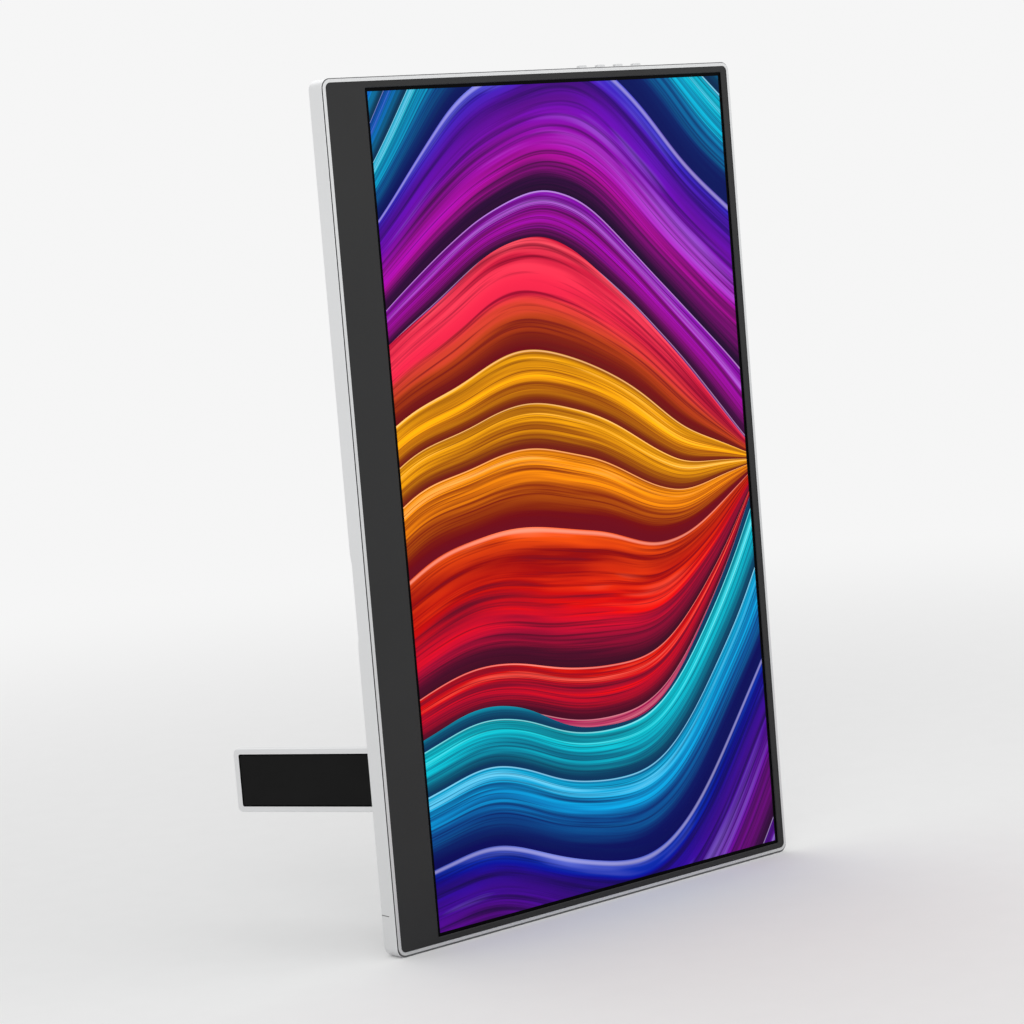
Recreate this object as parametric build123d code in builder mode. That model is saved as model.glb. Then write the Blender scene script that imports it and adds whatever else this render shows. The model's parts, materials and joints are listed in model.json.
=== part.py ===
"""Portable monitor standing on its short side, with a swing-out leg, in millimetres.

+X runs to the right across the screen, +Y from the screen to the back, +Z up the long side.
The origin is the centre of the flat short side that the monitor stands on.
"""
import os
from math import cos, radians, sin

from build123d import *

os.makedirs("parts", exist_ok=True)

# Picture and front face
picture_width = 193.6
picture_height = 344.2
picture_border = 1.45
chin_width = 19.7
far_bezel_width = 3.1
top_bezel_width = 2.7
bottom_bezel_width = 2.4
rim_width = 1.8
foot_rim_width = 2.2

# Housing
body_thickness = 10.0
corner_radius = 4.2
cover_wall = 1.35
cover_plate = 1.2
back_edge_radius = 1.5
lip_depth = 0.25
lip_inset = 0.45
foot_lip_inset = 0.9
lip_edge_radius = 0.15
seam_width = 0.2
seam_depth = 0.3
cover_lip_radius = 0.15
skirt_wall = 0.8
skirt_length = 1.3
skirt_clearance = 0.05

# Bezel
bezel_thickness = 0.6
bezel_recess = 0.25
bezel_clearance = 0.1
bezel_chamfer = 0.3
bezel_window_radius = 0.5
ledge_width = 1.6
ledge_thickness = 0.5
adhesive_thickness = 0.1
adhesive_margin = 0.15

# Display stack
gasket_thickness = 0.15
gasket_overhang = 0.2
gasket_margin = 0.05
picture_film = 0.1
glass_thickness = 1.0
glass_border = 2.2
driver_border = 9.0
film_thickness = 0.4
guide_thickness = 1.0
reflector_thickness = 0.2
tray_floor = 0.3
tray_wall = 0.4
sheet_clearance = 0.2
led_strip_width = 3.0
panel_board_width = 8.0
panel_board_length = 170.0
panel_board_thickness = 0.8
flex_thickness = 0.12
flex_gap = 0.1
flex_length = 16.0
flex_lap = 1.5
flex_count = 6

# Boards
board_thickness = 0.8
standoff_height = 0.5
standoff_radius = 2.2
main_board_width = 72.0
main_board_height = 80.0
main_board_inset = 13.8
board_edge_gap = 2.5
key_board_height = 12.0
key_board_margin = 9.0
shield_width = 26.0
shield_height = 22.0
shield_depth = 1.6
shield_wall = 0.2
shield_right = 16.0
shield_down = 12.0
shield_corner_radius = 1.0

# Screws that hold the boards and the hinge brackets
screw_head_radius = 1.7
screw_head_height = 0.8
screw_shank_radius = 0.8
screw_reach = 1.7
screw_hole_clearance = 0.15
screw_tip_gap = 0.1
screw_inset = 5.0
key_screw_inset = 3.0
bracket_screw_reach = (3.6, 9.9)

# Ribbon cables and speaker leads
ribbon_width = 5.0
ribbon_thickness = 0.3
ribbon_lap = 4.0
connector_width = 6.2
connector_depth = 1.1
connector_height = 4.5
lead_radius = 0.5
lead_connector_size = 4.6

# Buttons on the short side
button_count = 4
button_pitch = 10.3
button_row_x = 45.9
button_width = 4.2
button_depth = 2.2
button_proud = 1.2
button_clearance = 0.15
button_travel = 0.4
button_edge_radius = 0.4
flange_overhang = 0.6
flange_thickness = 0.6
flange_gap = 0.05
stem_radius = 0.6
stem_length = 1.6
switch_width = 4.6
switch_depth = 3.0
switch_height = 3.2

# Sockets on the short side
socket_inset = 0.6
socket_clearance = 0.15
data_width = 8.94
data_height = 3.2
data_depth = 7.6
data_wall = 0.3
data_radius = 1.5
data_tongue_width = 6.7
data_tongue_height = 0.7
video_width = 11.0
video_height = 3.2
video_depth = 7.8
video_wall = 0.35
video_chamfer = 1.0
video_tongue_width = 8.4
video_tongue_height = 0.8
socket_pitch = 15.5
first_socket_inset = 24.0
jack_bore_radius = 1.8
jack_nose_radius = 2.3
jack_nose_inset = 0.3
jack_width = 6.4
jack_depth = 4.7
jack_length = 13.0
jack_bore_depth = 12.0
jack_notch_clearance = 0.3

# Speakers behind the chin
speaker_width = 9.4
speaker_length = 34.0
speaker_depth = 4.4
speaker_end_inset = 46.0
speaker_side_inset = 8.6
cone_width = 6.6
cone_length = 26.0
cone_depth = 0.8
cone_thickness = 0.4
cone_radius = 3.0
speaker_radius = 1.0
speaker_slot_count = 4
speaker_slot_pitch = 1.7
speaker_slot_length = 12.0
speaker_slot_width = 0.8

# Finger scoop in the back edge of the chin side, and the short seam below it
scoop_centre_z = 146.2
scoop_length = 49.6
scoop_depth = 1.7
scoop_reach = 12.0
scoop_side_ramp = 8.0
scoop_upper_ramp = 9.0
scoop_lower_ramp = 10.5
scoop_backing = 0.8
side_seam_z = 17.4
side_seam_length = 6.0
side_seam_width = 0.35
side_seam_depth = 0.4

# Swing-out leg
leg_end_inset = 17.9
leg_width = 28.1
leg_thickness = 4.0
leg_corner_radius = 2.2
leg_centre_z = 60.5
leg_hinge_inset = 73.6
leg_open_angle = 118.0
leg_setback = 0.1
leg_floor_gap = 0.4
leg_side_gap = 0.4
leg_heel_gap = 4.4
leg_rim = 2.4
inlay_gap = 0.6
inlay_depth = 1.2
inlay_start = 12.0
inlay_sink = 0.1
leg_edge_radius = 0.35
inlay_corner_radius = 0.9
recess_wall = 0.8
recess_floor = 0.7
notch_length = 6.0
notch_width = 16.0
notch_depth = 2.2

# Hinge
hinge_pin_radius = 0.9
pin_seat_clearance = 0.02
pin_running_clearance = 0.03
hinge_offset = 1.7
bracket_width = 6.4
bracket_length = 6.0
bracket_under_pin = 1.7
bracket_foot_reach = 13.0
bracket_gap = 0.1
foot_thickness = 0.8

# Worked out from the values above, across the screen
window_width = picture_width + 2 * picture_border
window_height = picture_height + 2 * picture_border
face_width = chin_width + window_width + far_bezel_width
face_height = bottom_bezel_width + window_height + top_bezel_width
body_width = face_width + 2 * rim_width
body_height = foot_rim_width + face_height + rim_width
left = -body_width / 2
middle_z = body_height / 2
window_left = left + rim_width + chin_width
window_bottom = foot_rim_width + bottom_bezel_width
window_centre = (window_left + window_width / 2, window_bottom + window_height / 2)
body_centre = (0, middle_z)
face_centre = (0, foot_rim_width + face_height / 2)
lip_width = body_width - 2 * lip_inset
lip_height = body_height - lip_inset - foot_lip_inset
lip_centre = (0, foot_lip_inset + lip_height / 2)
lip_radius = corner_radius - lip_inset
cavity_width = body_width - 2 * cover_wall
cavity_height = body_height - 2 * cover_wall
cavity_radius = max(corner_radius - cover_wall, 0.5)
face_radius = max(corner_radius - rim_width, 0.5)
cavity_left = left + cover_wall
cavity_top = body_height - cover_wall

# Worked out across the thickness, from the front face to the back
front = -body_thickness / 2
back = body_thickness / 2
bezel_front = front + bezel_recess
bezel_back = bezel_front + bezel_thickness
ledge_front = bezel_back + adhesive_thickness
glass_front = bezel_back + gasket_thickness
glass_back = glass_front + glass_thickness
films_back = glass_back + film_thickness
guide_back = films_back + guide_thickness
reflector_back = guide_back + reflector_thickness
tray_back = reflector_back + tray_floor
panel_board_back = tray_back + panel_board_thickness
lip_back = front + lip_depth
cover_front = lip_back + seam_width
ledge_back = ledge_front + ledge_thickness
skirt_back = ledge_back + skirt_length
cavity_back = back - cover_plate
board_back = cavity_back - standoff_height
board_front = board_back - board_thickness

# Display outline: wider past the picture on the chin side, where its drivers are
glass_width = driver_border + picture_width + glass_border
glass_height = picture_height + 2 * glass_border
glass_left = window_left + picture_border - driver_border
glass_centre = (glass_left + glass_width / 2, window_centre[1])
sheet_inset = tray_wall + sheet_clearance
sheet_height = glass_height - 2 * sheet_inset
sheet_width = glass_width - 2 * sheet_inset
led_strip_x = glass_left + sheet_inset + led_strip_width / 2
guide_left = glass_left + sheet_inset + led_strip_width + sheet_clearance
guide_width = glass_left + glass_width - sheet_inset - guide_left
guide_centre = (guide_left + guide_width / 2, glass_centre[1])
panel_board_x = glass_left + panel_board_width / 2

# Boards and sockets
board_top = cavity_top - board_edge_gap
main_board_x = left + main_board_inset + main_board_width / 2
main_board_z = board_top - main_board_height / 2
main_board_right = main_board_x + main_board_width / 2
main_board_bottom = board_top - main_board_height
socket_top = body_height - socket_inset
data_x = [left + first_socket_inset + i * socket_pitch for i in range(2)]
video_x = left + first_socket_inset + 2 * socket_pitch
jack_x = left + first_socket_inset + 3 * socket_pitch
data_y = board_front - data_height / 2
video_y = board_front - video_height / 2
jack_y = cavity_back - jack_depth / 2
key_board_width = (button_count - 1) * button_pitch + 2 * key_board_margin
key_board_z = board_top - key_board_height / 2
key_board_left = button_row_x - key_board_width / 2
button_x = [button_row_x + (i - (button_count - 1) / 2) * button_pitch for i in range(button_count)]
button_y = board_front - switch_depth / 2
flange_top = cavity_top - flange_gap
flange_bottom = flange_top - flange_thickness
switch_top = flange_bottom - button_travel - button_clearance
switch_bottom = switch_top - switch_height

# Finger scoop
scoop_floor_length = scoop_length - scoop_upper_ramp - scoop_lower_ramp
scoop_floor_z = scoop_centre_z + (scoop_lower_ramp - scoop_upper_ramp) / 2

# Cables
cable_x = glass_left + panel_board_width - connector_width / 2
cable_back = panel_board_back + connector_depth
cable_front = cable_back - ribbon_thickness
upper_connector_z = main_board_bottom + connector_height / 2 + 1
lower_connector_z = middle_z + panel_board_length / 2 - 2 * connector_height
key_cable_z = key_board_z - key_board_height / 4

# Speakers and their leads
speaker_x = left + speaker_side_inset
speaker_front = cavity_back - speaker_depth
speaker_z = [speaker_end_inset, body_height - speaker_end_inset]
lead_y = speaker_front + speaker_depth / 2
lead_connector_left = main_board_x - main_board_width / 2 + 0.5
lead_connector_z = speaker_z[1] - speaker_length / 2 - lead_connector_size
lead_connector_centre = (lead_connector_left + lead_connector_size / 2, lead_connector_z)

# Hinge and leg, with the leg drawn swung open
hinge_x = left + leg_hinge_inset
leg_length = body_width - leg_hinge_inset - leg_end_inset
leg_outer_offset = leg_thickness - hinge_offset
hinge_y = back - leg_setback - leg_outer_offset
recess_y = hinge_y - hinge_offset - leg_floor_gap
leg_direction = Vector(cos(radians(leg_open_angle)), sin(radians(leg_open_angle)), 0)
leg_normal = Vector(-sin(radians(leg_open_angle)), cos(radians(leg_open_angle)), 0)
hinge_point = Vector(hinge_x, hinge_y, leg_centre_z)
inlay_length = leg_length - leg_rim - inlay_start
inlay_width = leg_width - 2 * leg_rim
inlay_middle = inlay_start + inlay_length / 2
recess_left = hinge_x - leg_heel_gap
recess_right = hinge_x + leg_length + leg_side_gap
recess_x = (recess_left + recess_right) / 2
recess_width = recess_right - recess_left
recess_height = leg_width + 2 * leg_side_gap
recess_end_z = recess_height / 2 + recess_wall
bracket_offset_z = recess_end_z + bracket_gap + bracket_length / 2
bracket_z = [leg_centre_z + side * bracket_offset_z for side in (-1, 1)]
pin_length = 2 * (recess_end_z + bracket_gap + bracket_length)

# Screw places, as (x, z)
main_board_screws = [
    (main_board_x + side * (main_board_width / 2 - screw_inset), z)
    for side in (-1, 1)
    for z in (main_board_bottom + 2 * screw_inset, main_board_z + 2 * screw_inset)
]
key_screw_z = key_board_z + key_board_height / 6
key_screw_reach = key_board_width / 2 - key_screw_inset
key_board_screws = [(button_row_x + side * key_screw_reach, key_screw_z) for side in (-1, 1)]
bracket_screws = [
    (hinge_x + bracket_width / 2 + reach, z)
    for z in bracket_z
    for reach in bracket_screw_reach
]
screw_places = main_board_screws + key_board_screws + bracket_screws
screw_tip = board_front + screw_reach
screw_hole_radius = screw_shank_radius + screw_hole_clearance


def upright(y):
    """Plane across the thickness at depth y, with its x along +X and its y up."""
    return Plane.XZ.offset(-y)


def slab(width, height, near, far, centre, radius=0.0, mode=Mode.ADD):
    """Plate between the depths near and far, added to or cut from the part being built."""
    with BuildSketch(upright(far)) as outline:
        with Locations(centre):
            if radius > 0:
                RectangleRounded(width, height, radius)
            else:
                Rectangle(width, height)
    extrude(outline.sketch, amount=far - near, mode=mode)


def rods(radius, near, far, places, mode=Mode.ADD):
    """Round rods or holes along the thickness, one at each (x, z)."""
    with BuildSketch(upright(far)) as outline:
        with Locations(*places):
            Circle(radius)
    extrude(outline.sketch, amount=far - near, mode=mode)


def column(width, depth, low, high, centre, radius=0.0, mode=Mode.ADD):
    """Upright block between the heights low and high, centred on (x, y)."""
    with BuildSketch(Plane.XY.offset(low)) as outline:
        with Locations(centre):
            if radius > 0:
                RectangleRounded(width, depth, radius)
            else:
                Rectangle(width, depth)
    extrude(outline.sketch, amount=high - low, mode=mode)


def pillar(radius, low, high, centre, mode=Mode.ADD):
    """Upright round rod or hole between two heights, centred on (x, y)."""
    with BuildSketch(Plane.XY.offset(low)) as outline:
        with Locations(centre):
            Circle(radius)
    extrude(outline.sketch, amount=high - low, mode=mode)


def leg_plane(offset):
    """Plane parallel to the leg's faces, its x along the leg from the hinge axis."""
    return Plane(origin=hinge_point + leg_normal * offset, x_dir=leg_direction, z_dir=leg_normal)


def save(builder, name):
    """Label a finished piece and write it."""
    builder.part.label = name
    export_step(builder.part, f"parts/{name}.step")


# Back cover: tray with the leg's recess, socket and button holes, and the finger scoop
with BuildPart() as back_cover:
    slab(body_width, body_height, cover_front, back, body_centre, corner_radius)
    fillet(back_cover.faces().sort_by(Axis.Y)[-1].edges(), radius=back_edge_radius)
    fillet(back_cover.faces().sort_by(Axis.Y)[0].edges(), radius=cover_lip_radius)
    slab(cavity_width, cavity_height, cover_front, cavity_back, body_centre, cavity_radius, Mode.SUBTRACT)
    # Walls of the leg's recess and of the fingertip notch at its end
    slab(
        recess_width + 2 * recess_wall,
        recess_height + 2 * recess_wall,
        recess_y - recess_floor,
        cavity_back,
        (recess_x, leg_centre_z),
    )
    slab(
        notch_length + recess_wall,
        notch_width + 2 * recess_wall,
        back - notch_depth - recess_floor,
        cavity_back,
        (recess_right + (notch_length + recess_wall) / 2, leg_centre_z),
    )
    # Backing that keeps a wall behind the finger scoop
    slab(
        scoop_reach,
        scoop_length,
        back - scoop_depth - scoop_backing,
        cavity_back,
        (cavity_left + scoop_reach / 2, scoop_centre_z),
    )
    rods(standoff_radius, board_back, cavity_back, screw_places)
    # The hollows
    with BuildSketch(upright(back)) as recess_outline:
        with Locations((recess_x, leg_centre_z)):
            Rectangle(recess_width, recess_height)
        fillet(recess_outline.vertices().group_by(Axis.X)[-1], radius=leg_corner_radius + leg_side_gap)
    extrude(recess_outline.sketch, amount=back - recess_y, mode=Mode.SUBTRACT)
    slab(
        notch_length + leg_corner_radius,
        notch_width,
        back - notch_depth,
        back,
        (recess_right + (notch_length - leg_corner_radius) / 2, leg_centre_z),
        mode=Mode.SUBTRACT,
    )
    with BuildSketch(upright(back)) as scoop_mouth:
        with Locations((left, scoop_centre_z)):
            Rectangle(2 * scoop_reach, scoop_length)
    with BuildSketch(upright(back - scoop_depth)) as scoop_floor:
        with Locations((left, scoop_floor_z)):
            Rectangle(2 * (scoop_reach - scoop_side_ramp), scoop_floor_length)
    loft([scoop_mouth.sketch.face(), scoop_floor.sketch.face()], ruled=True, mode=Mode.SUBTRACT)
    # Short seam across the back part of the chin side
    column(
        2 * side_seam_depth,
        side_seam_length,
        side_seam_z - side_seam_width / 2,
        side_seam_z + side_seam_width / 2,
        (left, back - side_seam_length / 2),
        mode=Mode.SUBTRACT,
    )
    # Pin holes through the recess ends, screw holes, speaker slots
    pillar(
        hinge_pin_radius + button_clearance,
        leg_centre_z - recess_end_z,
        leg_centre_z + recess_end_z,
        (hinge_x, hinge_y),
        Mode.SUBTRACT,
    )
    rods(screw_shank_radius, board_back, screw_tip + screw_tip_gap, screw_places, Mode.SUBTRACT)
    with BuildSketch(upright(back)) as speaker_slots:
        for z in speaker_z:
            with Locations((speaker_x, z)):
                with GridLocations(speaker_slot_pitch, 0, speaker_slot_count, 1):
                    SlotOverall(speaker_slot_length, speaker_slot_width, rotation=90)
    extrude(speaker_slots.sketch, amount=cover_plate, mode=Mode.SUBTRACT)
    # Holes in the short side for the sockets and the buttons
    for x in data_x:
        column(
            data_width + 2 * socket_clearance,
            data_height + 2 * socket_clearance,
            cavity_top,
            body_height,
            (x, data_y),
            data_radius,
            Mode.SUBTRACT,
        )
    column(
        video_width + 2 * socket_clearance,
        video_height + 2 * socket_clearance,
        cavity_top,
        body_height,
        (video_x, video_y),
        socket_clearance * 2,
        Mode.SUBTRACT,
    )
    pillar(jack_nose_radius + socket_clearance, cavity_top, body_height, (jack_x, jack_y), Mode.SUBTRACT)
    for x in button_x:
        column(
            button_width + 2 * button_clearance,
            button_depth + 2 * button_clearance,
            cavity_top,
            body_height,
            (x, button_y),
            button_edge_radius + button_clearance,
            Mode.SUBTRACT,
        )
save(back_cover, "back_cover")

# Front frame: silver rim inside the cover's front edge, seam round it, ledge for the bezel, skirt
skirt_width = cavity_width - 2 * skirt_clearance
skirt_height = cavity_height - 2 * skirt_clearance
with BuildPart() as front_frame:
    slab(lip_width, lip_height, front, lip_back, lip_centre, lip_radius)
    fillet(front_frame.faces().sort_by(Axis.Y)[0].edges(), radius=lip_edge_radius)
    slab(
        lip_width - 2 * seam_depth,
        lip_height - 2 * seam_depth,
        lip_back,
        cover_front,
        lip_centre,
        lip_radius - seam_depth,
    )
    slab(skirt_width, skirt_height, cover_front, skirt_back, body_centre, cavity_radius)
    slab(face_width, face_height, front, ledge_front, face_centre, face_radius, Mode.SUBTRACT)
    slab(
        face_width - 2 * ledge_width,
        face_height - 2 * ledge_width,
        ledge_front,
        ledge_back,
        face_centre,
        mode=Mode.SUBTRACT,
    )
    slab(
        skirt_width - 2 * skirt_wall,
        skirt_height - 2 * skirt_wall,
        ledge_back,
        skirt_back,
        body_centre,
        mode=Mode.SUBTRACT,
    )
save(front_frame, "front_frame")

# Bezel: dark plate round the picture, wide on the chin side
with BuildPart() as bezel:
    slab(
        face_width - 2 * bezel_clearance,
        face_height - 2 * bezel_clearance,
        bezel_front,
        bezel_back,
        face_centre,
        face_radius - bezel_clearance,
    )
    slab(
        window_width,
        window_height,
        bezel_front,
        bezel_back,
        window_centre,
        bezel_window_radius,
        Mode.SUBTRACT,
    )
    window_edges = bezel.faces().sort_by(Axis.Y)[0].inner_wires()[0].edges()
    chamfer(window_edges, length=bezel_chamfer)
save(bezel, "bezel")

# Adhesive ring between the bezel and the ledge
with BuildPart() as bezel_adhesive:
    slab(
        face_width - 2 * adhesive_margin,
        face_height - 2 * adhesive_margin,
        bezel_back,
        ledge_front,
        face_centre,
        face_radius - adhesive_margin,
    )
    slab(
        face_width - 2 * ledge_width + 2 * adhesive_margin,
        face_height - 2 * ledge_width + 2 * adhesive_margin,
        bezel_back,
        ledge_front,
        face_centre,
        mode=Mode.SUBTRACT,
    )
save(bezel_adhesive, "bezel_adhesive")

# Gasket between the bezel and the display glass
with BuildPart() as display_gasket:
    slab(
        glass_width - 2 * gasket_margin,
        glass_height - 2 * gasket_margin,
        bezel_back,
        glass_front,
        glass_centre,
    )
    slab(
        window_width + 2 * gasket_overhang,
        window_height + 2 * gasket_overhang,
        bezel_back,
        glass_front,
        window_centre,
        mode=Mode.SUBTRACT,
    )
save(display_gasket, "display_gasket")

# Picture area on the front of the display glass
with BuildPart() as display_picture:
    slab(picture_width, picture_height, glass_front - picture_film, glass_front, window_centre)
save(display_picture, "display_picture")

# Display glass with its black border
with BuildPart() as display_glass:
    slab(glass_width, glass_height, glass_front, glass_back, glass_centre)
save(display_glass, "display_glass")

# Backlight: films, light guide, reflector and the strip of lamps along the chin side
with BuildPart() as optical_films:
    slab(sheet_width, sheet_height, glass_back, films_back, glass_centre)
save(optical_films, "optical_films")

with BuildPart() as light_guide:
    slab(guide_width, sheet_height, films_back, guide_back, guide_centre)
save(light_guide, "light_guide")

with BuildPart() as reflector_sheet:
    slab(sheet_width, sheet_height, guide_back, reflector_back, glass_centre)
save(reflector_sheet, "reflector_sheet")

with BuildPart() as led_strip:
    slab(led_strip_width, sheet_height, films_back, guide_back, (led_strip_x, glass_centre[1]))
save(led_strip, "led_strip")

# Steel tray that holds the backlight behind the glass
with BuildPart() as panel_tray:
    slab(glass_width, glass_height, glass_back, tray_back, glass_centre)
    slab(
        glass_width - 2 * tray_wall,
        glass_height - 2 * tray_wall,
        glass_back,
        reflector_back,
        glass_centre,
        mode=Mode.SUBTRACT,
    )
save(panel_tray, "panel_tray")

# Driver board on the back of the tray, along the chin side
with BuildPart() as panel_board:
    slab(panel_board_width, panel_board_length, tray_back, panel_board_back, (panel_board_x, middle_z))
save(panel_board, "panel_board")

# Films that fold round the tray's edge from the glass to the driver board
with BuildPart() as panel_flexes:
    fold_left = glass_left - flex_gap - flex_thickness
    with BuildSketch(Plane.XY.offset(middle_z)) as fold:
        with Locations((fold_left, (glass_front + glass_back) / 2)):
            Rectangle(flex_thickness, panel_board_back - (glass_front + glass_back) / 2, align=Align.MIN)
        with Locations((fold_left, panel_board_back)):
            Rectangle(flex_thickness + flex_gap + flex_lap, flex_thickness, align=Align.MIN)
    with GridLocations(1, panel_board_length / flex_count, 1, flex_count) as rows:
        offsets = [place.position.Y for place in rows.locations]
    for offset in offsets:
        extrude(fold.sketch.moved(Pos(0, 0, offset - flex_length / 2)), amount=flex_length)
save(panel_flexes, "panel_flexes")

# Main board, notched round the headphone jack
with BuildPart() as main_board:
    slab(main_board_width, main_board_height, board_front, board_back, (main_board_x, main_board_z))
    slab(
        jack_width + 2 * jack_notch_clearance,
        2 * (board_top - body_height + jack_nose_inset + jack_length + jack_notch_clearance),
        board_front,
        board_back,
        (jack_x, board_top),
        mode=Mode.SUBTRACT,
    )
    rods(screw_hole_radius, board_front, board_back, main_board_screws, Mode.SUBTRACT)
save(main_board, "main_board")

# Chips on the main board, as (x, z, width, height, depth) from the board's centre
chips = [
    (-18, -10, 12, 12, 1.0),
    (-5, -28, 9, 7, 0.9),
    (-20, 10, 6, 6, 0.8),
    (4, 16, 8, 5, 0.9),
    (20, 12, 5, 5, 1.2),
]
with BuildPart() as board_chips:
    for x, z, width, height, depth in chips:
        slab(width, height, board_front - depth, board_front, (main_board_x + x, main_board_z + z))
save(board_chips, "board_chips")

# Pressed screening can over the power section
shield_centre = (main_board_x + shield_right, main_board_z - shield_down)
with BuildPart() as board_shield:
    slab(
        shield_width,
        shield_height,
        board_front - shield_depth,
        board_front,
        shield_centre,
        shield_corner_radius,
    )
    slab(
        shield_width - 2 * shield_wall,
        shield_height - 2 * shield_wall,
        board_front - shield_depth + shield_wall,
        board_front,
        shield_centre,
        mode=Mode.SUBTRACT,
    )
save(board_shield, "board_shield")

# Connectors: one at each end of the ribbon, and one for the speakers' leads
with BuildPart() as board_connectors:
    slab(connector_width, connector_height, cable_back, board_front, (cable_x, upper_connector_z))
    slab(connector_width, connector_height, panel_board_back, cable_front, (cable_x, lower_connector_z))
    slab(lead_connector_size, lead_connector_size, lead_y - lead_radius, board_front, lead_connector_centre)
save(board_connectors, "board_connectors")

# Ribbon from the main board to the driver board
with BuildPart() as panel_cable:
    slab(
        ribbon_width,
        upper_connector_z + connector_height / 2 - lower_connector_z,
        cable_front,
        cable_back,
        (cable_x, (upper_connector_z + connector_height / 2 + lower_connector_z) / 2),
    )
save(panel_cable, "panel_cable")

# Board behind the buttons, and the ribbon that joins it to the main board
with BuildPart() as key_board:
    slab(key_board_width, key_board_height, board_front, board_back, (button_row_x, key_board_z))
    rods(screw_hole_radius, board_front, board_back, key_board_screws, Mode.SUBTRACT)
save(key_board, "key_board")

with BuildPart() as key_cable:
    key_cable_left = main_board_right - ribbon_lap
    key_cable_right = key_board_left + ribbon_lap
    slab(
        key_cable_right - key_cable_left,
        key_board_height / 3,
        board_front - ribbon_thickness,
        board_front,
        ((key_cable_left + key_cable_right) / 2, key_cable_z),
    )
save(key_cable, "key_cable")

# Side-pushed switches on the key board, each with a blind hole for a button's stem
with BuildPart() as button_switches:
    for x in button_x:
        column(switch_width, switch_depth, switch_bottom, switch_top, (x, button_y))
        pillar(
            stem_radius + button_clearance,
            flange_bottom - stem_length - button_travel - button_clearance,
            switch_top,
            (x, button_y),
            Mode.SUBTRACT,
        )
save(button_switches, "button_switches")

# Buttons: cap through the wall, flange that keeps it in, stem into the switch
for number, x in enumerate(button_x, start=1):
    with BuildPart() as button:
        column(
            button_width,
            button_depth,
            flange_top,
            body_height + button_proud,
            (x, button_y),
            button_edge_radius,
        )
        fillet(button.faces().sort_by(Axis.Z)[-1].edges(), radius=button_edge_radius)
        column(
            button_width + 2 * flange_overhang,
            button_depth + 2 * flange_overhang,
            flange_bottom,
            flange_top,
            (x, button_y),
        )
        pillar(stem_radius, flange_bottom - stem_length, flange_bottom, (x, button_y))
    save(button, f"button_{number}")

# Reversible power and data sockets: shells and tongues
with BuildPart() as data_socket_shells:
    for x in data_x:
        column(data_width, data_height, socket_top - data_depth, socket_top, (x, data_y), data_radius)
        column(
            data_width - 2 * data_wall,
            data_height - 2 * data_wall,
            socket_top - data_depth + data_wall,
            socket_top,
            (x, data_y),
            data_radius - data_wall,
            Mode.SUBTRACT,
        )
save(data_socket_shells, "data_socket_shells")

with BuildPart() as data_socket_tongues:
    for x in data_x:
        column(
            data_tongue_width,
            data_tongue_height,
            socket_top - data_depth + data_wall,
            socket_top - socket_inset,
            (x, data_y),
        )
save(data_socket_tongues, "data_socket_tongues")

# Small video socket: shell with two bevelled corners, and its tongue
with BuildPart() as video_socket_shell:
    column(video_width, video_height, socket_top - video_depth, socket_top, (video_x, video_y))
    chamfer(video_socket_shell.edges().filter_by(Axis.Z).group_by(Axis.Y)[0], length=video_chamfer)
    with BuildSketch(Plane.XY.offset(socket_top - video_depth + video_wall)) as video_mouth:
        with Locations((video_x, video_y)):
            Rectangle(video_width - 2 * video_wall, video_height - 2 * video_wall)
        chamfer(video_mouth.vertices().group_by(Axis.Y)[0], length=video_chamfer - video_wall / 2)
    extrude(video_mouth.sketch, amount=video_depth - video_wall, mode=Mode.SUBTRACT)
save(video_socket_shell, "video_socket_shell")

with BuildPart() as video_socket_tongue:
    column(
        video_tongue_width,
        video_tongue_height,
        socket_top - video_depth + video_wall,
        socket_top - socket_inset,
        (video_x, video_y + video_height / 2 - video_wall - video_tongue_height),
    )
save(video_socket_tongue, "video_socket_tongue")

# Headphone jack in its notch in the main board
jack_top = body_height - jack_nose_inset
with BuildPart() as headphone_jack:
    column(jack_width, jack_depth, jack_top - jack_length, cavity_top - socket_clearance, (jack_x, jack_y))
    pillar(jack_nose_radius, cavity_top - socket_clearance, jack_top, (jack_x, jack_y))
    pillar(jack_bore_radius, jack_top - jack_bore_depth, jack_top, (jack_x, jack_y), Mode.SUBTRACT)
save(headphone_jack, "headphone_jack")

# Speakers behind the chin, their cones facing the slots in the cover
with BuildPart() as speakers:
    for z in speaker_z:
        slab(speaker_width, speaker_length, speaker_front, cavity_back, (speaker_x, z), speaker_radius)
        slab(
            cone_width,
            cone_length,
            cavity_back - cone_depth,
            cavity_back,
            (speaker_x, z),
            cone_radius,
            Mode.SUBTRACT,
        )
save(speakers, "speakers")

with BuildPart() as speaker_cones:
    for z in speaker_z:
        slab(
            cone_width,
            cone_length,
            cavity_back - cone_depth,
            cavity_back - cone_depth + cone_thickness,
            (speaker_x, z),
            cone_radius,
        )
save(speaker_cones, "speaker_cones")

# Leads from both speakers, joined to the connector on the main board
with BuildPart() as speaker_leads:
    pillar(
        lead_radius,
        speaker_z[0] + speaker_length / 2,
        speaker_z[1] - speaker_length / 2,
        (speaker_x, lead_y),
    )
    with BuildSketch(Plane.YZ.offset(speaker_x)) as lead_branch:
        with Locations((lead_y, lead_connector_z)):
            Circle(lead_radius)
    extrude(lead_branch.sketch, amount=lead_connector_left - speaker_x)
save(speaker_leads, "speaker_leads")

# Screws of the boards and the hinge brackets
with BuildPart() as small_screws:
    rods(screw_head_radius, board_front - screw_head_height, board_front, screw_places)
    rods(screw_shank_radius, board_front, screw_tip, screw_places)
save(small_screws, "small_screws")

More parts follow.
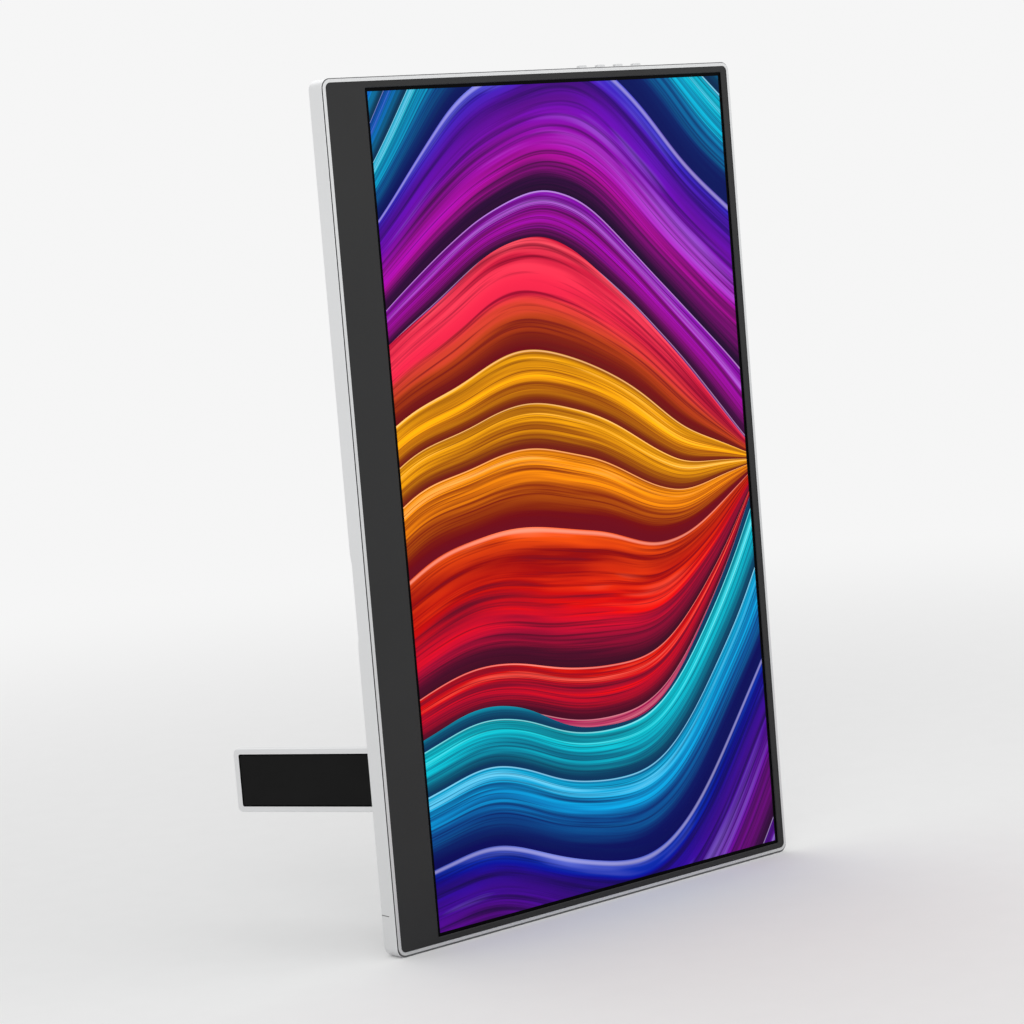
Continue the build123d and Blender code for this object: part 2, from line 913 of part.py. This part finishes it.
# Hinge brackets at both ends of the leg's recess, each with a foot under two screws
with BuildPart() as hinge_brackets:
    for z in bracket_z:
        slab(bracket_width, bracket_length, hinge_y - bracket_under_pin, cavity_back, (hinge_x, z))
        slab(
            bracket_foot_reach,
            bracket_length,
            board_back - foot_thickness,
            board_back,
            (hinge_x + bracket_width / 2 + bracket_foot_reach / 2, z),
        )
    pillar(
        hinge_pin_radius + pin_running_clearance,
        leg_centre_z - pin_length / 2,
        leg_centre_z + pin_length / 2,
        (hinge_x, hinge_y),
        Mode.SUBTRACT,
    )
    rods(screw_hole_radius, board_back - foot_thickness, board_back, bracket_screws, Mode.SUBTRACT)
save(hinge_brackets, "hinge_brackets")

# Hinge pin, fixed in the leg and turning in the brackets
with BuildPart() as hinge_pin:
    pillar(
        hinge_pin_radius,
        leg_centre_z - pin_length / 2,
        leg_centre_z + pin_length / 2,
        (hinge_x, hinge_y),
    )
save(hinge_pin, "hinge_pin")

# Leg: plate with a raised rim, rounded at the heel so that it turns in the recess
with BuildPart() as leg_plate:
    with BuildSketch(leg_plane(leg_outer_offset)):
        with Locations(((leg_length - hinge_offset) / 2, 0)):
            Rectangle(leg_length + hinge_offset, leg_width)
    extrude(amount=-leg_thickness)
    along_leg = Axis(hinge_point, leg_direction)
    across_leg = Axis(hinge_point, leg_normal)
    fillet(leg_plate.edges().filter_by(across_leg).sort_by(along_leg)[-2:], radius=leg_corner_radius)
    fillet(leg_plate.edges().filter_by(Axis.Z).sort_by(along_leg)[:2], radius=hinge_offset)
    fillet(leg_plate.faces().sort_by(across_leg)[-1].edges(), radius=leg_edge_radius)
    with BuildSketch(leg_plane(leg_outer_offset)):
        with Locations((inlay_middle, 0)):
            RectangleRounded(inlay_length, inlay_width, inlay_corner_radius)
    extrude(amount=-inlay_depth, mode=Mode.SUBTRACT)
    pillar(
        hinge_pin_radius + pin_seat_clearance,
        leg_centre_z - leg_width / 2,
        leg_centre_z + leg_width / 2,
        (hinge_x, hinge_y),
        Mode.SUBTRACT,
    )
save(leg_plate, "leg_plate")

# Dark inlay in the leg's outer face
with BuildPart() as leg_inlay:
    with BuildSketch(leg_plane(leg_outer_offset - inlay_sink)):
        with Locations((inlay_middle, 0)):
            RectangleRounded(
                inlay_length - 2 * inlay_gap,
                inlay_width - 2 * inlay_gap,
                inlay_corner_radius - inlay_gap,
            )
    extrude(amount=-(inlay_depth - inlay_sink))
save(leg_inlay, "leg_inlay")
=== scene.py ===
"""Looks of the portable monitor: materials, lights, floor and camera. Lengths are in metres."""
import json

import bpy
from mathutils import Matrix, Vector


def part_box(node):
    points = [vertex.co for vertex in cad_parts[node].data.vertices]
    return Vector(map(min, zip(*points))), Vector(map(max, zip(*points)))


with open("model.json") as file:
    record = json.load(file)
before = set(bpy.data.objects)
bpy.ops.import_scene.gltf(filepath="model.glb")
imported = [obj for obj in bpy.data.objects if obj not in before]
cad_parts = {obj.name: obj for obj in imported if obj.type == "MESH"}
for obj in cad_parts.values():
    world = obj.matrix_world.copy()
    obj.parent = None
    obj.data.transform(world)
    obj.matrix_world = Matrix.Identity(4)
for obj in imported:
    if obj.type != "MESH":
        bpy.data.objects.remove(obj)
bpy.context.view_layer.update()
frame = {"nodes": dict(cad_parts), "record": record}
nodes = frame["nodes"]

# Camera, solved from the corners of the photographed front
CAMERA_PLACE = Vector((-0.7978, -0.9450, 0.2941))
CAMERA_FORWARD = Vector((0.62807, 0.77184, -0.09893))
CAMERA_UP = Vector((0.12653, 0.02414, 0.99167))
CAMERA_LENS_MM = 102.54
SENSOR_MM = 36.0
CAMERA_REACH = 50.0

# Seams of the housing, with shade painted dark inside them: round the front lip, and low on the chin side.
# One margin leaves the lip's own edge out of the painted shade, the other spreads it onto the cover's flat
# front edge.
LIP_BACK_Y = -0.00475
LIP_MARGIN = 0.000002
COVER_FRONT_Y = -0.00455
COVER_MARGIN = 0.000005
SHORT_SEAM_LOW = (-0.11143, -0.0011, 0.017224)
SHORT_SEAM_HIGH = (-0.11083, 0.0055, 0.017576)
SEAM_SHADE = (0.13, 0.13, 0.134)

# The leg's recess in the back, darkened with painted shade
RECESS_LOW = (-0.0430, 0.0003, 0.0450)
RECESS_HIGH = (0.1080, 0.0048, 0.0760)
RECESS_SHADE = (0.62, 0.625, 0.63)

# The pocket of the leg's inlay, measured from the hinge along the open leg and square to its plate; painted
# near black as shade in the gap round the inlay
LEG_HINGE = Vector((-0.03785, 0.0026, 0.0605))
LEG_DIRECTION = Vector((-0.46947, 0.88295, 0.0))
LEG_NORMAL = Vector((-0.88295, -0.46947, 0.0))
POCKET_ALONG = (0.0119, 0.1291)
POCKET_DEEP = (0.00105, 0.00227)
POCKET_HALF_HEIGHT = 0.0117
POCKET_SHADE = (0.003, 0.003, 0.003)

# Levels of what the camera and the reflections see round the object, and of the light from there
BACKGROUND_LEVEL = 0.92
SURROUNDING_LIGHT = 0.78

# Floor, which fades into the background between two distances from the object
FLOOR_RADIUS = 6.0
FLOOR_SIDES = 96
FADE_START = 0.35
FADE_END = 1.3

# Softboxes, aimed at the middle of the object: name, place and power in watts
LAMP_TARGET = Vector((0.0, 0.0, 0.18))
LAMP_SIZE = 1.2
LAMPS = [
    ("key_softbox", (-1.1, -1.3, 0.9), 5.8),
    ("fill_softbox", (0.55, -0.8, 0.8), 1.8),
    ("back_softbox", (0.2, 1.5, 1.3), 2.5),
]

# How far the painted highlight along an edge reaches, on metal and on plastic
METAL_EDGE = 0.0004
PLASTIC_EDGE = 0.0003

# Fineness of the noise in each finish, in repeats per metre
METAL_CLOUD = 14.0
METAL_SPECKLE = 5200.0
METAL_PITS = 2600.0
PLASTIC_GRAIN = 2200.0
PLASTIC_CLOUD = 22.0
SHEET_LINES = 90.0
SHEET_LINE_STRETCH = 40.0
SHEET_CLOUD = 120.0
BOARD_TRACKS = 420.0
BOARD_PADS = 260.0
RUBBER_GRAIN = 1500.0
RUBBER_CLOUD = 40.0
GLASS_HAZE = 900.0
FILM_GRAIN = 4000.0
PAPER_GRAIN = 60.0

# Depth of the relief in each finish
METAL_RELIEF = 0.00004
PLASTIC_RELIEF = 0.00003
POLISHED_RELIEF = 0.00001
SHEET_RELIEF = 0.00003
BOARD_RELIEF = 0.00003
RUBBER_RELIEF = 0.00004
GLASS_RELIEF = 0.00002

# Lit picture: strength of its colours, and the gloss of the film over it and over its border
PICTURE_SATURATION = 1.06
PICTURE_VALUE = 1.30
FILM_SPECULAR = 0.03

# Ribbons of the lit picture. The first ribbon's number keeps all the numbers above zero.
FIRST_RIBBON = 40.0
WIDTH_CHANGE = 0.42
COLOUR_STEP = 0.5
COLOUR_DRIFT = 1.1
STRANDS_PER_RIBBON = 6.0
THREADS_PER_RIBBON = 34.0
NIGHT = (0.002, 0.0, 0.012)
NIGHT_SHARE = 0.86
CREAM = (1.0, 0.88, 0.78)
CREAM_SHARE = 0.34
SHEEN_SHARE = 0.6
CREST_SHARE = 0.6
THREAD_SHARE = 0.7

# Colours across the three bundles of ribbons, from one side to the other
TOP_COLOURS = [
    (0.00, (0.16, 0.012, 0.22)),
    (0.16, (0.50, 0.02, 0.38)),
    (0.32, (0.22, 0.03, 0.55)),
    (0.48, (0.03, 0.06, 0.62)),
    (0.66, (0.005, 0.22, 0.72)),
    (0.82, (0.01, 0.52, 0.68)),
    (1.00, (0.006, 0.10, 0.50)),
]
FAN_COLOURS = [
    (0.00, (0.45, 0.015, 0.10)),
    (0.18, (0.75, 0.02, 0.012)),
    (0.36, (0.90, 0.11, 0.006)),
    (0.55, (0.96, 0.30, 0.012)),
    (0.72, (0.98, 0.50, 0.05)),
    (0.86, (0.92, 0.20, 0.03)),
    (1.00, (0.80, 0.06, 0.10)),
]
BOTTOM_COLOURS = [
    (0.00, (0.42, 0.015, 0.34)),
    (0.22, (0.14, 0.01, 0.34)),
    (0.42, (0.012, 0.03, 0.42)),
    (0.62, (0.008, 0.12, 0.68)),
    (0.82, (0.01, 0.40, 0.72)),
    (1.00, (0.02, 0.62, 0.72)),
]


class Graph:
    """Node tree of a material or of the world, built by short calls that return output sockets."""

    def __init__(self, owner):
        owner.use_nodes = True
        self.owner = owner
        self.tree = owner.node_tree
        self.shader = self.tree.nodes.get("Principled BSDF")

    def node(self, kind, **settings):
        made = self.tree.nodes.new(kind)
        for key, value in settings.items():
            setattr(made, key, value)
        return made

    def feed(self, socket, value):
        """Link an output into a socket, or set the socket's own value."""
        if isinstance(value, bpy.types.NodeSocket):
            self.tree.links.new(value, socket)
        else:
            socket.default_value = value

    def math(self, operation, a, b=0.0, c=0.0):
        made = self.node("ShaderNodeMath", operation=operation)
        for socket, value in zip(made.inputs, (a, b, c)):
            self.feed(socket, value)
        return made.outputs[0]

    def add(self, a, b):
        return self.math("ADD", a, b)

    def times(self, a, b):
        return self.math("MULTIPLY", a, b)

    def position(self):
        """The point on the object in the CAD frame, in metres."""
        return self.node("ShaderNodeTexCoord").outputs["Object"]

    def axes(self, vector):
        made = self.node("ShaderNodeSeparateXYZ")
        self.feed(made.inputs[0], vector)
        return made.outputs

    def vector(self, x, y, z):
        made = self.node("ShaderNodeCombineXYZ")
        for socket, value in zip(made.inputs, (x, y, z)):
            self.feed(socket, value)
        return made.outputs[0]

    def dot(self, a, b):
        made = self.node("ShaderNodeVectorMath", operation="DOT_PRODUCT")
        self.feed(made.inputs[0], a)
        self.feed(made.inputs[1], b)
        return made.outputs["Value"]

    def noise(self, vector, scale, detail=2.0, roughness=0.5):
        made = self.node("ShaderNodeTexNoise")
        self.feed(made.inputs["Vector"], vector)
        self.feed(made.inputs["Scale"], scale)
        self.feed(made.inputs["Detail"], detail)
        self.feed(made.inputs["Roughness"], roughness)
        return made.outputs["Fac"]

    def cells(self, vector, scale, **settings):
        """Distance in a pattern of cells."""
        made = self.node("ShaderNodeTexVoronoi", **settings)
        self.feed(made.inputs["Vector"], vector)
        self.feed(made.inputs["Scale"], scale)
        return made.outputs["Distance"]

    def spread(self, value, low, high, out_low=0.0, out_high=1.0, smooth=False):
        """Map a value's range to another, clamped at both ends."""
        made = self.node("ShaderNodeMapRange", clamp=True)
        made.interpolation_type = "SMOOTHSTEP" if smooth else "LINEAR"
        for socket, item in zip(made.inputs[:5], (value, low, high, out_low, out_high)):
            self.feed(socket, item)
        return made.outputs[0]

    def ramp(self, value, stops):
        """Straight colour ramp from a list of (place, (r, g, b))."""
        made = self.node("ShaderNodeValToRGB")
        elements = made.color_ramp.elements
        while len(elements) < len(stops):
            elements.new(0.5)
        for element, (place, colour) in zip(elements, stops):
            element.position = place
            element.color = (*colour, 1.0)
        self.feed(made.inputs[0], value)
        return made.outputs[0]

    def mix(self, factor, a, b, blend="MIX"):
        made = self.node("ShaderNodeMix", data_type="RGBA", blend_type=blend)
        self.feed(made.inputs["Factor"], factor)
        for name, value in (("A", a), ("B", b)):
            socket = [s for s in made.inputs if s.name == name and s.type == "RGBA"][0]
            self.feed(socket, value if isinstance(value, bpy.types.NodeSocket) else (*value, 1.0))
        return [s for s in made.outputs if s.type == "RGBA"][0]

    def bump(self, height, strength, distance):
        made = self.node("ShaderNodeBump")
        self.feed(made.inputs["Height"], height)
        made.inputs["Strength"].default_value = strength
        made.inputs["Distance"].default_value = distance
        return made.outputs[0]

    def edges(self, radius):
        """Close to 1 along sharp edges and 0 on flat faces."""
        rounded = self.node("ShaderNodeBevel", samples=4)
        rounded.inputs["Radius"].default_value = radius
        flat = self.node("ShaderNodeNewGeometry").outputs["True Normal"]
        return self.spread(self.dot(rounded.outputs[0], flat), 0.995, 0.80)

    def surface(self, colour, roughness, normal=None, **constants):
        """Feed the shader; the constants go straight on its sockets."""
        if isinstance(colour, tuple):
            colour = (*colour, 1.0)
        self.feed(self.shader.inputs["Base Color"], colour)
        self.feed(self.shader.inputs["Roughness"], roughness)
        if normal is not None:
            self.feed(self.shader.inputs["Normal"], normal)
        for key, value in constants.items():
            self.shader.inputs[key.replace("_", " ")].default_value = value
        return self.owner

    def within(self, value, low, high):
        """1 where a value lies between two limits."""
        return self.math("COMPARE", value, (low + high) / 2, (high - low) / 2)

    def inside_box(self, low, high):
        """1 inside an upright box of the CAD frame."""
        inside = 1.0
        for value, start, end in zip(self.axes(self.position()), low, high):
            inside = self.times(inside, self.within(value, start, end))
        return inside

    def distance_along(self, direction, origin):
        """Distance from an origin, measured along a direction."""
        return self.math("SUBTRACT", self.dot(self.position(), direction), direction.dot(origin))

    def surroundings(self):
        """Level of the surroundings, higher where they are seen or mirrored than for their light."""
        path = self.node("ShaderNodeLightPath").outputs
        seen = self.math("MAXIMUM", path["Is Camera Ray"], path["Is Glossy Ray"])
        seen = self.math("MAXIMUM", seen, path["Is Transmission Ray"])
        return self.spread(seen, 0.0, 1.0, SURROUNDING_LIGHT, BACKGROUND_LEVEL)


def lip_seam_shade(g):
    """1 on all that lies behind the front lip, where shade is painted into the seam."""
    return g.math("GREATER_THAN", g.axes(g.position())[1], LIP_BACK_Y + LIP_MARGIN)


def cover_seam_shade(g):
    """1 inside the short seam low on the chin side, and on the cover's edge behind the front lip: where
    shade is painted into the seams.
    """
    short_seam = g.inside_box(SHORT_SEAM_LOW, SHORT_SEAM_HIGH)
    front_edge = g.math("LESS_THAN", g.axes(g.position())[1], COVER_FRONT_Y + COVER_MARGIN)
    return g.math("MAXIMUM", short_seam, front_edge)


def leg_recess_shade(g):
    """1 inside the leg's recess in the back, where shade is painted."""
    return g.inside_box(RECESS_LOW, RECESS_HIGH)


def inlay_pocket_shade(g):
    """1 inside the pocket of the leg that holds the inlay, where shade is painted near black."""
    along = g.within(g.distance_along(LEG_DIRECTION, LEG_HINGE), *POCKET_ALONG)
    deep = g.within(g.distance_along(LEG_NORMAL, LEG_HINGE), *POCKET_DEEP)
    height = g.math("COMPARE", g.axes(g.position())[2], LEG_HINGE.z, POCKET_HALF_HEIGHT)
    return g.times(g.times(along, deep), height)


def scaled(colour, factor, lift=0.0):
    """Colour times a factor, plus a lift, no channel above 1."""
    return tuple(min(c * factor + lift, 1.0) for c in colour)


def blasted_metal(name, colour, roughness=0.38, edge_highlight_gain=1.25, painted_shades=()):
    """Bead-blasted, clear anodised aluminium, with a painted highlight along edges and painted shade in the
    places given.
    """
    g = Graph(bpy.data.materials.new(name))
    place = g.position()
    cloud = g.noise(place, METAL_CLOUD, 3.0)
    speckle = g.noise(place, METAL_SPECKLE, 2.0, 0.7)
    pits = g.noise(place, METAL_PITS, 3.0, 0.6)
    tone = g.mix(g.spread(cloud, 0.35, 0.65), scaled(colour, 0.985), scaled(colour, 1.01))
    tone = g.mix(g.spread(speckle, 0.3, 0.7, 0.0, 0.35), tone, scaled(colour, 0.88))
    edge = g.edges(METAL_EDGE)
    # Painted highlight along edges, standing in for light on rounded edges
    tone = g.mix(g.times(edge, 0.7), tone, scaled(colour, edge_highlight_gain))
    rough = g.add(g.spread(cloud, 0.3, 0.7, roughness - 0.02, roughness + 0.02), g.times(speckle, 0.06))
    rough = g.math("SUBTRACT", rough, g.times(edge, 0.12))
    normal = g.bump(g.add(g.times(pits, 0.6), g.times(speckle, 0.4)), 0.25, METAL_RELIEF)
    # Painted shade in the seams, the leg's recess and the inlay's pocket
    for place_of, shade in painted_shades:
        tone = g.mix(place_of(g), tone, shade)
    return g.surface(tone, rough, normal, Metallic=1.0)


def moulded_plastic(name, colour, roughness, relief=PLASTIC_RELIEF, level=0.4):
    """Fine textured plastic with slight cloudiness and a painted highlight along its edges."""
    g = Graph(bpy.data.materials.new(name))
    place = g.position()
    fine = g.noise(place, PLASTIC_GRAIN, 3.0, 0.6)
    cloud = g.noise(place, PLASTIC_CLOUD, 3.0)
    tone = g.mix(g.spread(cloud, 0.3, 0.7), scaled(colour, 0.9), scaled(colour, 1.1))
    tone = g.mix(g.spread(fine, 0.35, 0.75, 0.0, 0.5), tone, scaled(colour, 1.35, 0.002))
    # Painted highlight along edges
    tone = g.mix(g.times(g.edges(PLASTIC_EDGE), 0.5), tone, scaled(colour, 1.8, 0.01))
    rough = g.spread(fine, 0.3, 0.7, roughness - 0.05, roughness + 0.07)
    normal = g.bump(fine, 0.35, relief)
    return g.surface(tone, rough, normal, Specular_IOR_Level=level)


def plated_metal(name, colour, roughness):
    """Rolled and plated sheet with fine drawing lines."""
    g = Graph(bpy.data.materials.new(name))
    x, y, z = g.axes(g.position())
    stretched = g.vector(g.times(x, SHEET_LINE_STRETCH), g.times(y, SHEET_LINE_STRETCH), z)
    lines = g.noise(stretched, SHEET_LINES, 3.0, 0.7)
    cloud = g.noise(g.position(), SHEET_CLOUD, 2.0)
    tone = g.mix(lines, scaled(colour, 0.82), colour)
    rough = g.add(g.times(lines, 0.12), g.times(cloud, 0.1))
    normal = g.bump(lines, 0.15, SHEET_RELIEF)
    return g.surface(tone, g.add(rough, roughness - 0.1), normal, Metallic=1.0)


def circuit_board(name, colour):
    """Solder mask with tracks under it and plated pads."""
    g = Graph(bpy.data.materials.new(name))
    place = g.position()
    border = g.cells(place, BOARD_TRACKS, feature="DISTANCE_TO_EDGE", distance="MANHATTAN")
    track = g.spread(border, 0.02, 0.05, 1.0, 0.0)
    tone = g.mix(g.times(track, 0.6), colour, scaled(colour, 2.2, 0.01))
    pad = g.spread(g.cells(place, BOARD_PADS), 0.14, 0.17, 1.0, 0.0)
    tone = g.mix(pad, tone, (0.62, 0.55, 0.36))
    return g.surface(tone, 0.35, g.bump(track, 0.3, BOARD_RELIEF), Coat_Weight=0.3)


def rubber_pad(name, colour, level=0.3):
    """Matt pad with a fine leathery grain."""
    g = Graph(bpy.data.materials.new(name))
    place = g.position()
    grain = g.cells(place, RUBBER_GRAIN, feature="SMOOTH_F1")
    cloud = g.noise(place, RUBBER_CLOUD, 3.0)
    tone = g.mix(g.spread(cloud, 0.3, 0.7), scaled(colour, 0.8), scaled(colour, 1.25))
    tone = g.mix(g.spread(grain, 0.2, 0.7, 0.4, 0.0), tone, scaled(colour, 2.0))
    rough = g.spread(grain, 0.1, 0.6, 0.62, 0.5)
    return g.surface(tone, rough, g.bump(grain, 0.3, RUBBER_RELIEF), Specular_IOR_Level=level)


def black_glass(name):
    """Black-masked border of the display under a matt film."""
    g = Graph(bpy.data.materials.new(name))
    haze = g.noise(g.position(), GLASS_HAZE, 2.0)
    tone = g.mix(haze, (0.0006, 0.0006, 0.0008), (0.0012, 0.0012, 0.0015))
    rough = g.spread(haze, 0.3, 0.7, 0.3, 0.4)
    normal = g.bump(haze, 0.05, GLASS_RELIEF)
    return g.surface(tone, rough, normal, Specular_IOR_Level=FILM_SPECULAR)


def ribbons(g, flow, along, count, stops):
    """Bundle of satin ribbons: flow runs across them from 0 to 1 and along runs with them."""
    uneven = g.times(g.math("SINE", g.times(flow, count * 1.7)), WIDTH_CHANGE / count)
    place = g.add(g.times(g.add(flow, uneven), count), FIRST_RIBBON)
    part = g.math("FRACT", place)
    number = g.math("FLOOR", place)
    strand_across = g.times(place, STRANDS_PER_RIBBON)
    strand_place = g.vector(strand_across, g.times(along, 0.5), g.times(number, 1.7))
    strand = g.noise(strand_place, 1.0, 3.0, 0.6)
    thread_across = g.times(place, THREADS_PER_RIBBON)
    thread = g.noise(g.vector(thread_across, g.times(along, 0.7), number), 1.0, 3.0, 0.6)
    step = g.times(g.math("SINE", g.times(number, 2.4)), COLOUR_STEP / count)
    drift = g.times(g.math("SUBTRACT", strand, 0.5), COLOUR_DRIFT / count)
    colour = g.ramp(g.add(g.add(flow, step), drift), stops)
    deep = g.mix(1.0, colour, colour, "MULTIPLY")
    deep = g.mix(NIGHT_SHARE, deep, NIGHT)
    pale = g.mix(CREAM_SHARE, colour, CREAM)
    lit = g.times(g.spread(part, 0.03, 0.62, smooth=True), g.spread(strand, 0.34, 0.62, 0.22, 1.0))
    tone = g.mix(lit, deep, colour)
    sheen = g.times(g.spread(part, 0.5, 0.86, smooth=True), g.spread(strand, 0.5, 0.72))
    tone = g.mix(g.times(sheen, SHEEN_SHARE), tone, pale)
    dark_lines = g.times(g.spread(thread, 0.52, 0.36), THREAD_SHARE)
    tone = g.mix(dark_lines, tone, deep)
    crest = g.times(g.spread(part, 0.968, 0.98), g.spread(part, 1.0, 0.988))
    return g.mix(g.times(crest, CREST_SHARE), tone, pale)


def picture_material(name):
    """Lit picture: a generic design of three bundles of ribbons, one fanning out between the others."""
    low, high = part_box("display_picture")
    g = Graph(bpy.data.materials.new(name))
    axes = g.axes(g.position())
    across = g.spread(axes[0], low.x, high.x)
    up = g.times(g.math("SUBTRACT", axes[2], low.z), 1.0 / (high.x - low.x))
    wander = g.math("SUBTRACT", g.noise(g.vector(across, g.times(up, 0.8), 0.37), 2.0, 1.0, 0.4), 0.5)
    hill = g.times(g.math("SINE", g.add(g.times(across, 2.6), 0.5)), 0.42)
    crest = g.add(g.add(hill, g.times(across, -0.1)), g.add(g.times(wander, 0.3), 1.05))
    dip = g.times(g.math("SINE", g.add(g.times(across, 5.0), 1.0)), 0.12)
    valley = g.add(g.add(g.times(g.times(across, across), 0.55), dip), g.add(g.times(wander, 0.2), 0.30))

    over = g.math("DIVIDE", g.math("SUBTRACT", up, crest), g.add(g.times(across, 0.4), 0.52))
    between = g.math("DIVIDE", g.math("SUBTRACT", up, valley), g.math("SUBTRACT", crest, valley))
    under = g.math("DIVIDE", g.math("SUBTRACT", up, valley), g.add(g.times(across, 0.3), 0.62))
    top_flow = g.add(over, g.times(wander, 0.12))
    top = ribbons(g, top_flow, g.times(across, 2.0), 4.0, TOP_COLOURS)
    fan_flow = g.add(between, g.times(wander, 0.1))
    fan = ribbons(g, fan_flow, g.times(across, 2.4), 6.0, FAN_COLOURS)
    bottom_flow = g.add(under, g.add(g.times(wander, 0.1), 1.0))
    bottom = ribbons(g, bottom_flow, g.times(across, 2.2), 4.0, BOTTOM_COLOURS)
    lower_part = g.mix(g.math("GREATER_THAN", up, valley), bottom, fan)
    shown = g.mix(g.math("GREATER_THAN", up, crest), lower_part, top)
    vivid = g.node("ShaderNodeHueSaturation")
    vivid.inputs["Saturation"].default_value = PICTURE_SATURATION
    vivid.inputs["Value"].default_value = PICTURE_VALUE
    g.feed(vivid.inputs["Color"], shown)
    g.feed(g.shader.inputs["Emission Color"], vivid.outputs[0])
    matt = g.noise(g.position(), FILM_GRAIN, 2.0)
    return g.surface(
        (0.003, 0.003, 0.003),
        g.spread(matt, 0.3, 0.7, 0.38, 0.46),
        g.bump(matt, 0.04, GLASS_RELIEF),
        Emission_Strength=1.0,
        Specular_IOR_Level=FILM_SPECULAR,
    )


def dress():
    """Give every CAD node its finish."""
    finishes = {
        "housing_silver": blasted_metal(
            "housing_silver",
            (0.765, 0.77, 0.775),
            painted_shades=[(leg_recess_shade, RECESS_SHADE), (cover_seam_shade, SEAM_SHADE)],
        ),
        "frame_silver": blasted_metal(
            "frame_silver",
            (0.645, 0.65, 0.655),
            edge_highlight_gain=1.0,
            painted_shades=[(lip_seam_shade, SEAM_SHADE)],
        ),
        "leg_silver": blasted_metal(
            "leg_silver",
            (0.76, 0.765, 0.77),
            roughness=0.36,
            painted_shades=[(inlay_pocket_shade, POCKET_SHADE)],
        ),
        "button_silver": blasted_metal("button_silver", (0.66, 0.665, 0.67), roughness=0.45, edge_highlight_gain=1.0),
        "bezel_dark": moulded_plastic("bezel_dark", (0.0125, 0.0126, 0.013), 0.45, level=0.3),
        "picture": picture_material("picture"),
        "glass_black": black_glass("glass_black"),
        "inlay_dark": rubber_pad("inlay_dark", (0.0035, 0.0035, 0.0035), 0.12),
        "tape_black": rubber_pad("tape_black", (0.012, 0.012, 0.012)),
        "gasket_black": rubber_pad("gasket_black", (0.010, 0.010, 0.010)),
        "film_white": moulded_plastic("film_white", (0.80, 0.80, 0.80), 0.3),
        "guide_clear": moulded_plastic("guide_clear", (0.72, 0.76, 0.78), 0.15, POLISHED_RELIEF),
        "reflector_white": moulded_plastic("reflector_white", (0.86, 0.86, 0.86), 0.4),
        "lamp_strip": moulded_plastic("lamp_strip", (0.80, 0.74, 0.42), 0.4),
        "tray_steel": plated_metal("tray_steel", (0.56, 0.56, 0.56), 0.3),
        "board_green": circuit_board("board_green", (0.012, 0.10, 0.035)),
        "flex_amber": moulded_plastic("flex_amber", (0.50, 0.22, 0.03), 0.25),
        "chip_black": moulded_plastic("chip_black", (0.018, 0.018, 0.020), 0.55),
        "connector_cream": moulded_plastic("connector_cream", (0.68, 0.62, 0.50), 0.45),
        "ribbon_white": moulded_plastic("ribbon_white", (0.74, 0.74, 0.74), 0.35),
        "socket_steel": plated_metal("socket_steel", (0.66, 0.66, 0.67), 0.2),
        "tongue_black": moulded_plastic("tongue_black", (0.014, 0.014, 0.014), 0.4),
        "speaker_black": moulded_plastic("speaker_black", (0.02, 0.02, 0.02), 0.55),
        "cone_grey": moulded_plastic("cone_grey", (0.12, 0.12, 0.12), 0.6),
        "lead_black": rubber_pad("lead_black", (0.015, 0.015, 0.015)),
        "screw_steel": plated_metal("screw_steel", (0.48, 0.48, 0.49), 0.28),
        "bracket_steel": plated_metal("bracket_steel", (0.42, 0.42, 0.43), 0.35),
    }
    for row in frame["record"]["subparts"]:
        piece = nodes[row["node"]]
        for slot in piece.material_slots:
            slot.material = finishes[row["material_slot"]]


def make_world():
    """Pale surroundings that light the object softly."""
    world = bpy.data.worlds.new("surroundings")
    bpy.context.scene.world = world
    g = Graph(world)
    background = g.tree.nodes["Background"]
    background.inputs["Color"].default_value = (1.0, 1.0, 1.0, 1.0)
    g.feed(background.inputs["Strength"], g.surroundings())


def make_floor():
    """Pale floor that keeps the shadow near the object and fades into the background."""
    bpy.ops.mesh.primitive_circle_add(
        vertices=FLOOR_SIDES, radius=FLOOR_RADIUS, fill_type="NGON", location=(0, 0, 0)
    )
    floor = bpy.context.object
    floor.name = "floor"
    g = Graph(bpy.data.materials.new("floor_pale"))
    axes = g.axes(g.position())
    distance = g.math("SQRT", g.add(g.times(axes[0], axes[0]), g.times(axes[1], axes[1])))
    fade = g.spread(distance, FADE_START, FADE_END, smooth=True)
    paper = g.noise(g.position(), PAPER_GRAIN, 2.0)
    g.surface(g.mix(paper, (0.86, 0.86, 0.86), (0.88, 0.88, 0.88)), 0.9, Specular_IOR_Level=0.1)
    glow = g.node("ShaderNodeEmission")
    g.feed(glow.inputs["Strength"], g.surroundings())
    blend = g.node("ShaderNodeMixShader")
    g.feed(blend.inputs[0], fade)
    g.feed(blend.inputs[1], g.shader.outputs[0])
    g.feed(blend.inputs[2], glow.outputs[0])
    g.feed(g.tree.nodes["Material Output"].inputs["Surface"], blend.outputs[0])
    floor.data.materials.append(g.owner)


def make_lamps():
    """Square softboxes aimed at the middle of the object."""
    for name, place, power in LAMPS:
        data = bpy.data.lights.new(name, "AREA")
        data.shape = "SQUARE"
        data.size = LAMP_SIZE
        data.energy = power
        lamp = bpy.data.objects.new(name, data)
        lamp.location = place
        lamp.rotation_mode = "QUATERNION"
        lamp.rotation_quaternion = (LAMP_TARGET - Vector(place)).to_track_quat("-Z", "Y")
        bpy.context.scene.collection.objects.link(lamp)


def make_camera():
    """Camera at the photograph's viewing angle."""
    data = bpy.data.cameras.new("camera")
    data.lens = CAMERA_LENS_MM
    data.sensor_width = SENSOR_MM
    data.clip_end = CAMERA_REACH
    camera = bpy.data.objects.new("camera", data)
    back = -CAMERA_FORWARD.normalized()
    right = CAMERA_UP.cross(back).normalized()
    up = back.cross(right)
    turn = Matrix((right, up, back)).transposed().to_4x4()
    camera.matrix_world = Matrix.Translation(CAMERA_PLACE) @ turn
    bpy.context.scene.collection.objects.link(camera)
    bpy.context.scene.camera = camera


bpy.context.scene.view_settings.view_transform = "Standard"
make_camera()
make_world()
make_floor()
make_lamps()
dress()
